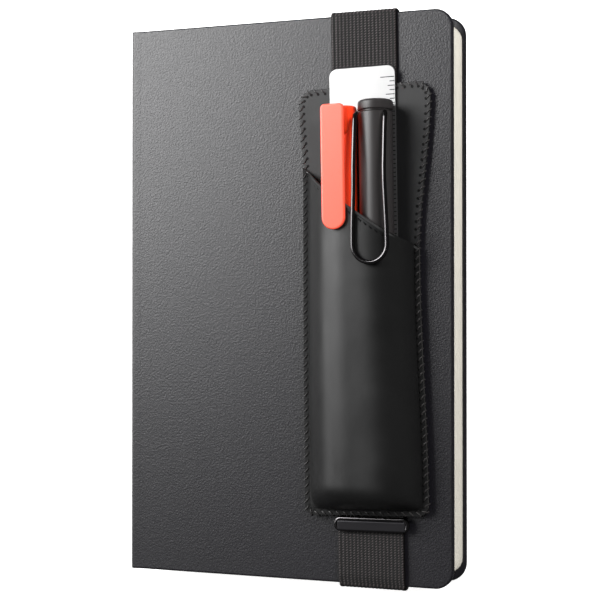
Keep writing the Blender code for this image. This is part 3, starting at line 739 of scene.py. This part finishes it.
def overcasting():
    """Thread whipped over the pouch's edge from each hole, all slanting the same way, and a
    near-black disc at each hole as its painted shade.
    """
    work = bmesh.new()
    shade_discs = bmesh.new()
    low = PANEL_LOW.z - 0.05 * MM
    for point, run, inward in along_outline(panel_outline(), STITCH_PITCH):
        hole = point + inward * STITCH_INSET
        top = panel_top(hole.x, hole.y)
        slant = run * 0.6 * STITCH_PITCH
        stations = [(STITCH_INSET - 0.35 * MM, 0.1, top - 0.2 * MM),
                    (STITCH_INSET - 0.55 * MM, 0.25, top + 0.05 * MM),
                    (0.6 * MM, 0.75, top + 0.12 * MM),
                    (0.05 * MM, 0.95, top - 0.05 * MM),
                    (-0.12 * MM, 1.05, (top + low) / 2),
                    (0.1 * MM, 1.1, low + 0.1 * MM)]
        path = []
        for inset, share, level in stations:
            place = point + inward * inset + slant * share
            path.append((place.x, place.y, level))
        tube(work, path, THREAD_RADIUS, 8)
        # A near-black disc just above the leather at the hole: painted shade in it.
        ring = [(hole.x + HOLE_RADIUS * math.cos(k * math.pi / 6),
                 hole.y + HOLE_RADIUS * math.sin(k * math.pi / 6)) for k in range(12)]
        loft(shade_discs, [[(x, y, level) for x, y in ring]
                     for level in (top - 0.3 * MM, top + 0.03 * MM)])
    piece("pouch_overcasting", work, THREAD, "pen_pouch")
    piece("pouch_stitch_hole_shade", shade_discs, HOLE_SHADE, "pen_pouch")


def mouth_stitching():
    """A row of short slanting stitches below the mouth."""
    work = bmesh.new()
    left, right = 10.6 * MM, 51.0 * MM
    count = round((right - left) * 1.2 / MOUTH_STITCH_PITCH)
    run = Vector((1, MOUTH_SLANT)).normalized()
    down = Vector((run.y, -run.x))
    for number in range(count):
        x = left + (right - left) * (number + 0.5) / count
        middle = Vector((x, mouth_line(x))) + down * STITCH_INSET
        path = []
        for share in (-1, -0.6, 0, 0.6, 1):
            point = middle + run * share * MOUTH_STITCH_HALF + down * share * 0.16 * MM
            lift = (0.16 - 0.42 * share ** 4) * MM
            path.append((point.x, point.y, front_level(point.x, point.y) + lift))
        tube(work, path, THREAD_RADIUS, 8)
    # These stitches take the near-black of the painted hole shade, darker than the thread's own
    # finish.
    piece("pouch_mouth_stitching", work, HOLE_SHADE, "pen_pouch")


def mouth_welt():
    """The raised edge along the mouth, its leather painted lighter than the panel: a painted
    highlight on its lit edge.
    """
    start, length = 10.2 * MM, 42.6 * MM
    work = bmesh.new()
    path = []
    for step in range(61):
        x = start + length * step / 60
        y = mouth_line(x) - 0.55 * MM
        path.append((x, y, front_level(x, y) - 0.12 * MM))
    tube(work, path, 0.5 * MM)
    piece("pouch_mouth_welt", work, WELT_HIGHLIGHT, "pen_pouch")


# ---------------------------------------------------------------- the elastic and its slider

STRAP_WIDTH = 25.4 * MM
STRAP_THICKNESS = 1.2 * MM
STRAP_LOW, STRAP_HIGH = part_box("elastic_strap")
STRAP_MIDDLE = (STRAP_LOW.x + STRAP_HIGH.x) / 2
PLATE_GAP = 0.1 * MM
STRAP_LIFT = STRAP_HIGH.z - (PANEL_LOW.z - PLATE_GAP)
LIFT_START, LIFT_FULL, LIFT_END = -79.9 * MM, -81.4 * MM, -103.4 * MM
LIFT_RAMP = 1.4 * MM
STRAP_BEND = 0.5 * MM
SELVAGE = 1.7 * MM
RIB_STEPS = 6
RIB_HEIGHT, RIB_FLOOR = 0.16, -0.18     # in mm, from the band's outer face
MAP_START = 100 * RIB_PITCH / MM        # a whole number of ribs, so the map stays positive
INNER_LEVEL = 0.02 * MM                 # the band's inner face
INNER_SKIP = 8                          # it needs only every eighth column


def strap_run():
    """The band's inner side round the front cover: (y, z, outward y, outward z)."""
    end = STRAP_HIGH.y - STRAP_THICKNESS
    low = STRAP_LOW.z + STRAP_THICKNESS
    high = PANEL_LOW.z - PLATE_GAP - STRAP_THICKNESS
    bend = STRAP_BEND
    run = []

    def corner(y, z, start):
        for step in range(7):
            turn = math.radians(start + 15 * step)
            run.append((y + bend * math.cos(turn), z + bend * math.sin(turn),
                        math.cos(turn), math.sin(turn)))

    def straight(start, finish, level, outward):
        count = round(abs(finish - start) / (2 * MM))
        for step in range(1, count):
            y = start + (finish - start) * step / count
            rise = 0.0
            if outward > 0:
                rise = station(y, [(LIFT_END - LIFT_RAMP, 0.0), (LIFT_END, STRAP_LIFT),
                                   (LIFT_FULL, STRAP_LIFT), (LIFT_START, 0.0)])
            run.append((y, level + rise, 0.0, outward))

    corner(end - bend, low + bend, 270)
    corner(end - bend, high - bend, 0)
    straight(end - bend, bend - end, high, 1.0)
    corner(bend - end, high - bend, 90)
    corner(bend - end, low + bend, 180)
    straight(bend - end, end - bend, low, -1.0)
    return run


def rib_columns():
    """(u, height in mm) across the band: a smooth selvage on each side of rounded ribs."""
    half = STRAP_WIDTH / 2
    columns = [(-half, -0.35), (-half + 0.2 * MM, -0.08), (-half + 0.8 * MM, 0.0),
               (-half + 1.3 * MM, -0.03)]
    ribs = round((STRAP_WIDTH - 2 * SELVAGE) / RIB_PITCH)
    for rib in range(ribs):
        for step in range(RIB_STEPS):
            share = step / RIB_STEPS
            u = (rib + share - ribs / 2) * RIB_PITCH
            columns.append((u, RIB_HEIGHT * abs(math.sin(math.pi * share)) + RIB_FLOOR))
    columns.append((ribs / 2 * RIB_PITCH, RIB_FLOOR))
    columns += [(-u, height) for u, height in columns[3::-1]]
    return columns


def strap():
    """The ribbed band, with its UV map in millimetres: across it, and along it."""
    work = bmesh.new()
    layer = work.loops.layers.uv.new("band")
    columns = rib_columns()
    across = [(u, STRAP_THICKNESS + height * MM) for u, height in columns]
    across += [(u, INNER_LEVEL) for u, height in columns[::-INNER_SKIP]]
    rings = []
    marks = []
    travelled = 0.0
    before = None
    for y, z, out_y, out_z in strap_run():
        if before is not None:
            travelled += math.hypot(y - before[0], z - before[1])
        before = (y, z)
        ring = []
        for u, level in across:
            at_y = y + out_y * level
            ring.append((STRAP_MIDDLE - at_y * math.tan(LEAN) + u, at_y, z + out_z * level))
        rings.append(ring)
        marks.append([(u / MM + MAP_START, travelled / MM) for u, _ in across])
    rows = loft(work, rings, closed=True)
    where = {}
    for row, mark in zip(rows, marks):
        where.update(zip(row, mark))
    for face in work.faces:
        for loop in face.loops:
            loop[layer].uv = where[loop.vert]
    piece("elastic_band", work, ELASTIC, "pen_pouch", ("elastic_strap",), 70)


SLIDER_SHIFT = 0.8 * MM         # toward the fore-edge, from the middle of its CAD node
SLIDER_WIRE = 0.85 * MM
SLIDER_HALF_LENGTH = 2.8 * MM


def slider():
    """A wire frame over the elastic, its lower half wrapped in a flat bar, and a bridge."""
    low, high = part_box("strap_slider")
    middle = (low + high) / 2
    place = lean_matrix((middle.x + SLIDER_SHIFT, middle.y, 0))
    wire = SLIDER_WIRE
    level = high.z - wire
    half_x = STRAP_WIDTH / 2 + 0.1 * MM + wire
    half_y = SLIDER_HALF_LENGTH
    end = half_y - wire
    work = bmesh.new()
    outline = rounded((-half_x, -end), (half_x, end), (1.8 * MM,) * 4, 8)
    tube(work, [place @ Vector((x, y, level)) for x, y in outline], wire, 14, closed=True)
    for side in (-1, 1):
        bend = [(side * half_x, level), (side * (half_x + 0.1 * MM), level - 1.2 * MM),
                (side * (half_x - 0.5 * MM), low.z + 0.45 * MM),
                (side * (half_x - 2.5 * MM), low.z + 0.32 * MM)]
        tube(work, [place @ Vector((x, 0, z)) for x, z in bend], 0.3 * MM, 8)
    piece("slider_wire_frame", work, WIRE, "slider", ("strap_slider",))
    work = bmesh.new()
    slab(work, rounded((-half_x + 0.6 * MM, -half_y + 0.5 * MM), (half_x - 0.5 * MM, 1.3 * MM),
                       (0.6 * MM,) * 4, 4), level - 0.8 * MM, level + 0.9 * MM, 0.4 * MM)
    work.transform(place)
    piece("slider_flat_bar", work, BAR, "slider")
    work = bmesh.new()
    slab(work, rounded((-half_x + 0.5 * MM, -1.2 * MM), (half_x - 0.5 * MM, 1.2 * MM),
                       (0.5 * MM,) * 4, 4), low.z + 0.05 * MM, low.z + 0.5 * MM, 0.15 * MM)
    work.transform(place)
    piece("slider_bridge", work, WIRE, "slider")


# ---------------------------------------------------------------- ruler and pens

INCH = 25.4 * MM
RULER_HALF = (12.7 * MM, 80.3 * MM)
TICKS = 97                              # sixteenths of an inch, over six inches
TICK_START = 4.3 * MM                   # from the ruler's end to the first tick
TICK_HALF = 0.15 * MM
TICK_LENGTH = 1.9                       # in mm, and longer at every second, fourth and so on
LONGER_TICKS = ((2, 2.6), (4, 3.4), (8, 4.3), (16, 5.4))


def ruler():
    """The blade, and its ticks as thin strips of ink along the right edge."""
    low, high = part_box("steel_ruler")
    middle = (low + high) / 2
    place = lean_matrix((middle.x, middle.y, 0))
    half_x, half_y = RULER_HALF
    work = bmesh.new()
    slab(work, rounded((-half_x, -half_y), (half_x, half_y), (3 * MM,) * 4, 10),
         low.z, high.z, 0.15 * MM)
    work.transform(place)
    piece("ruler_blade", work, RULER, "ruler", ("steel_ruler",))
    work = bmesh.new()
    x = half_x - 0.25 * MM
    for tick in range(TICKS):
        length = TICK_LENGTH
        for every, longer in LONGER_TICKS:
            if tick % every == 0:
                length = longer
        y = half_y - TICK_START - tick * INCH / 16
        outline = rounded((x - length * MM, y - TICK_HALF), (x, y + TICK_HALF),
                          (0.04 * MM,) * 4, 2)
        loft(work, [[(px, py, level) for px, py in outline]
                    for level in (high.z - 0.02 * MM, high.z + 0.006 * MM)])
    work.transform(place)
    piece("ruler_marks", work, INK_LINE, "ruler")


# The profiles below are (radius, height, fillet) in millimetres, from the pen's tail.
CAP_TUBE = [(2.3, 135.0, 0), (6.2, 135.0, 0.3), (6.2, 72.3, 0.5), (5.6, 72.3, 0.1),
            (5.6, 133.0, 0), (2.3, 133.0, 0)]
FINIAL = [(0, 139.55, 0), (5.0, 139.5, 0.9), (6.4, 138.9, 0.7), (6.4, 135.75, 0.3),
          (5.75, 135.6, 0), (5.75, 135.2, 0), (2.0, 135.2, 0), (2.0, 131.0, 0), (0, 131.0, 0)]
RED_CAP_TUBE = [(0, 137.6, 0), (5.75, 137.6, 0.9), (5.75, 78.3, 0.5), (4.95, 78.3, 0.1),
                (4.95, 134.0, 0), (0, 134.0, 0)]
CLIP_WIRE = 0.82 * MM
CLIP_LEG, CLIP_FOOT = 5.7, 6.4          # half the width of the wire clip, at its two ends
CLIP_FOOT_MIDDLE = 87.0
CLIP_TOP, CLIP_FOOT_START = 125, 88.5   # heights between which its legs spread
RED_CLIP_HALF = 4.4 * MM


def pen_place(node, first, last):
    """The pen's frame, tail at Y = 0, from a node that spans first to last mm along it."""
    low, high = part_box(node)
    return lean_matrix((low + high) / 2 - LENGTHWISE * (first + last) / 2 * MM)


def turned_piece(name, profile, place, finish, body, node):
    """A piece turned about the pen's axis, in the place of one CAD node."""
    work = bmesh.new()
    turned(work, rounded_profile(profile), place)
    piece(name, work, finish, body, (node,), 30)


def black_pen():
    """The cap's tube, its finial, and the U of the wire clip that stands off the cap."""
    place = pen_place("black_pen_barrel", 0, 79)
    turned_piece("black_cap_tube", CAP_TUBE, place, BARREL, "black_cap",
                 "black_pen_cap")
    turned_piece("black_cap_finial", FINIAL, place, BARREL, "black_cap",
                 "black_pen_finial")
    clip_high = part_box("black_pen_clip")[1]
    reach = (clip_high.z - 0.9 * MM - place.translation.z) / MM
    half = [(CLIP_LEG - 0.4, 134.2, 5.3), (CLIP_LEG, 133.4, 6.4), (CLIP_LEG, 132.0, 6.8),
            (CLIP_LEG, 129.0, 7.4), (CLIP_LEG, 121.0, reach - 0.7), (CLIP_LEG, 114.0, reach)]
    for step in range(1, 9):
        share = step / 8
        half.append((CLIP_LEG + (CLIP_FOOT - CLIP_LEG) * share * share * (3 - 2 * share),
                     CLIP_TOP + (CLIP_FOOT_START - CLIP_TOP) * (0.35 + 0.65 * share), reach))
    for angle in range(0, 91, 9):
        turn = math.radians(angle)
        half.append((CLIP_FOOT * math.cos(turn), CLIP_FOOT_MIDDLE - CLIP_FOOT * math.sin(turn),
                     reach))
    path = half + [(-x, y, z) for x, y, z in half[-2::-1]]
    work = bmesh.new()
    tube(work, [place @ (Vector(point) * MM) for point in path], CLIP_WIRE, 16)
    piece("black_clip_wire", work, WIRE, "black_cap", ("black_pen_clip",))


def red_pen():
    """The cap's tube, its broad clip, and the neck that joins them."""
    place = pen_place("red_pen_end_plug", 0, 11)
    # The tube and the neck take the deeper, painted-shade copy of the coral.
    turned_piece("red_cap_tube", RED_CAP_TUBE, place, CORAL_SHADED, "red_cap",
                 "red_pen_cap")
    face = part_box("red_pen_cap")[1].z - place.translation.z
    half = RED_CLIP_HALF
    work = bmesh.new()
    slab(work, rounded((-half, 92.5 * MM), (half, 137.6 * MM),
                       (half, half, 1.6 * MM, 1.6 * MM), 14),
         face - 1.5 * MM, face, 0.55 * MM, steps=6)
    work.transform(place)
    piece("red_cap_clip", work, CORAL, "red_cap")
    work = bmesh.new()
    base = rounded((-half + 0.3 * MM, 126.5 * MM), (half - 0.3 * MM, 137.3 * MM),
                   (2.2 * MM, 2.2 * MM, 1.2 * MM, 1.2 * MM), 8)
    levels = [(0.0, 2.0 * MM), (0.05, 5.0 * MM), (0.1, face - 1.2 * MM), (-0.05, face - 0.7 * MM)]
    loft(work, [[(x, y, level) for x, y in pulled_in(base, inset * MM)]
                for inset, level in levels])
    work.transform(place)
    piece("red_cap_neck", work, CORAL_SHADED, "red_cap")


# ---------------------------------------------------------------- CAD nodes that stay

def finish_nodes():
    """Give each CAD node that is still shown its own detailed material."""
    kept = {
        LEATHERETTE: ("spine_skin", "front_joint_fold", "back_joint_fold"),
        GREYBOARD: ("front_cover_board", "back_cover_board", "spine_board"),
        ENDPAPER: ("front_pastedown", "back_pastedown", "front_flyleaf", "back_flyleaf"),
        MULL: ("front_mull", "back_mull"),
        BARREL: ("black_pen_barrel", "black_pen_grip", "black_pen_feed"),
        STEEL: ("black_pen_nib",),
        INK: ("black_pen_cartridge",),
        CORAL: ("red_pen_barrel", "red_pen_end_plug"),
        FIBRE: ("red_pen_tip", "red_pen_reservoir"),
    }
    for finish, names in kept.items():
        for name in names:
            node = frame["nodes"][name]
            node.data.materials.clear()
            node.data.materials.append(finish)
    for name in ("black_pen_barrel", "black_pen_grip", "red_pen_barrel", "red_pen_end_plug",
                 "red_pen_tip", "black_pen_feed", "front_joint_fold", "back_joint_fold"):
        frame["nodes"][name].data.shade_smooth()
        frame["nodes"][name].data.set_sharp_from_angle(angle=math.radians(35))


# ---------------------------------------------------------------- stage, lights and camera

def area_light(name, place, aim, size, power):
    light = bpy.data.lights.new(name, "AREA")
    light.shape = "RECTANGLE"
    light.size, light.size_y = size
    light.energy = power
    lamp = bpy.data.objects.new(name, light)
    scene.collection.objects.link(lamp)
    lamp.location = place
    lamp.rotation_euler = (Vector(aim) - Vector(place)).to_track_quat("-Z", "Y").to_euler()
    return lamp


def stage():
    """A white floor with some light of its own, the softboxes, and a dim white world."""
    work = bmesh.new()
    bmesh.ops.create_grid(work, x_segments=8, y_segments=8, size=1.6)
    mesh = bpy.data.meshes.new("floor")
    work.to_mesh(mesh)
    work.free()
    floor = bpy.data.objects.new("floor", mesh)
    floor.location.z = -0.1 * MM
    floor.visible_glossy = False
    scene.collection.objects.link(floor)
    finish = Finish("pale_floor", (0.85, 0.85, 0.85), 0.9)
    finish.set("Emission Color", (1, 1, 1, 1))
    finish.set("Emission Strength", 0.85)
    mesh.materials.append(finish.material)
    area_light("overhead_softbox", (-0.62, 0.38, 0.76), (-0.46, 0.28, 0), (0.62, 0.66), 13.4)
    area_light("overhead_fill", (-0.60, -0.34, 0.80), (-0.60, -0.34, 0), (0.60, 0.58), 0.15)
    area_light("side_softbox", (-0.95, 0.28, 0.46), (0, 0, 0.02), (0.9, 0.5), 6.6)
    page_light = area_light("page_light", (0.50, 0.36, 0.55), (0.06, 0.05, 0.01), (0.3, 0.3), 8.6)
    page_light.visible_glossy = False
    world = bpy.data.worlds.new("studio")
    world.use_nodes = True
    background = world.node_tree.nodes["Background"]
    background.inputs["Color"].default_value = (1, 1, 1, 1)
    background.inputs["Strength"].default_value = 0.06
    scene.world = world
    scene.view_settings.view_transform = "Standard"


def camera():
    """Above the book and to its fore-edge side, looking back and down at it."""
    yaw, pitch, roll = (math.radians(angle) for angle in (21.1661, 0.5954, -0.0096))
    data = bpy.data.cameras.new("camera")
    data.lens = 87.32
    data.sensor_width = 36
    eye = bpy.data.objects.new("camera", data)
    turn = (Matrix.Rotation(yaw, 4, "Y") @ Matrix.Rotation(pitch, 4, "X")
            @ Matrix.Rotation(roll, 4, "Z"))
    eye.matrix_world = Matrix.Translation((0.2027, -0.0061, 0.5281)) @ turn
    scene.collection.objects.link(eye)
    scene.camera = eye


covers()
folds()
page_leaves()
back_panel()
front_panel()
overcasting()
mouth_stitching()
mouth_welt()
strap()
slider()
ruler()
black_pen()
red_pen()
finish_nodes()
stage()
camera()
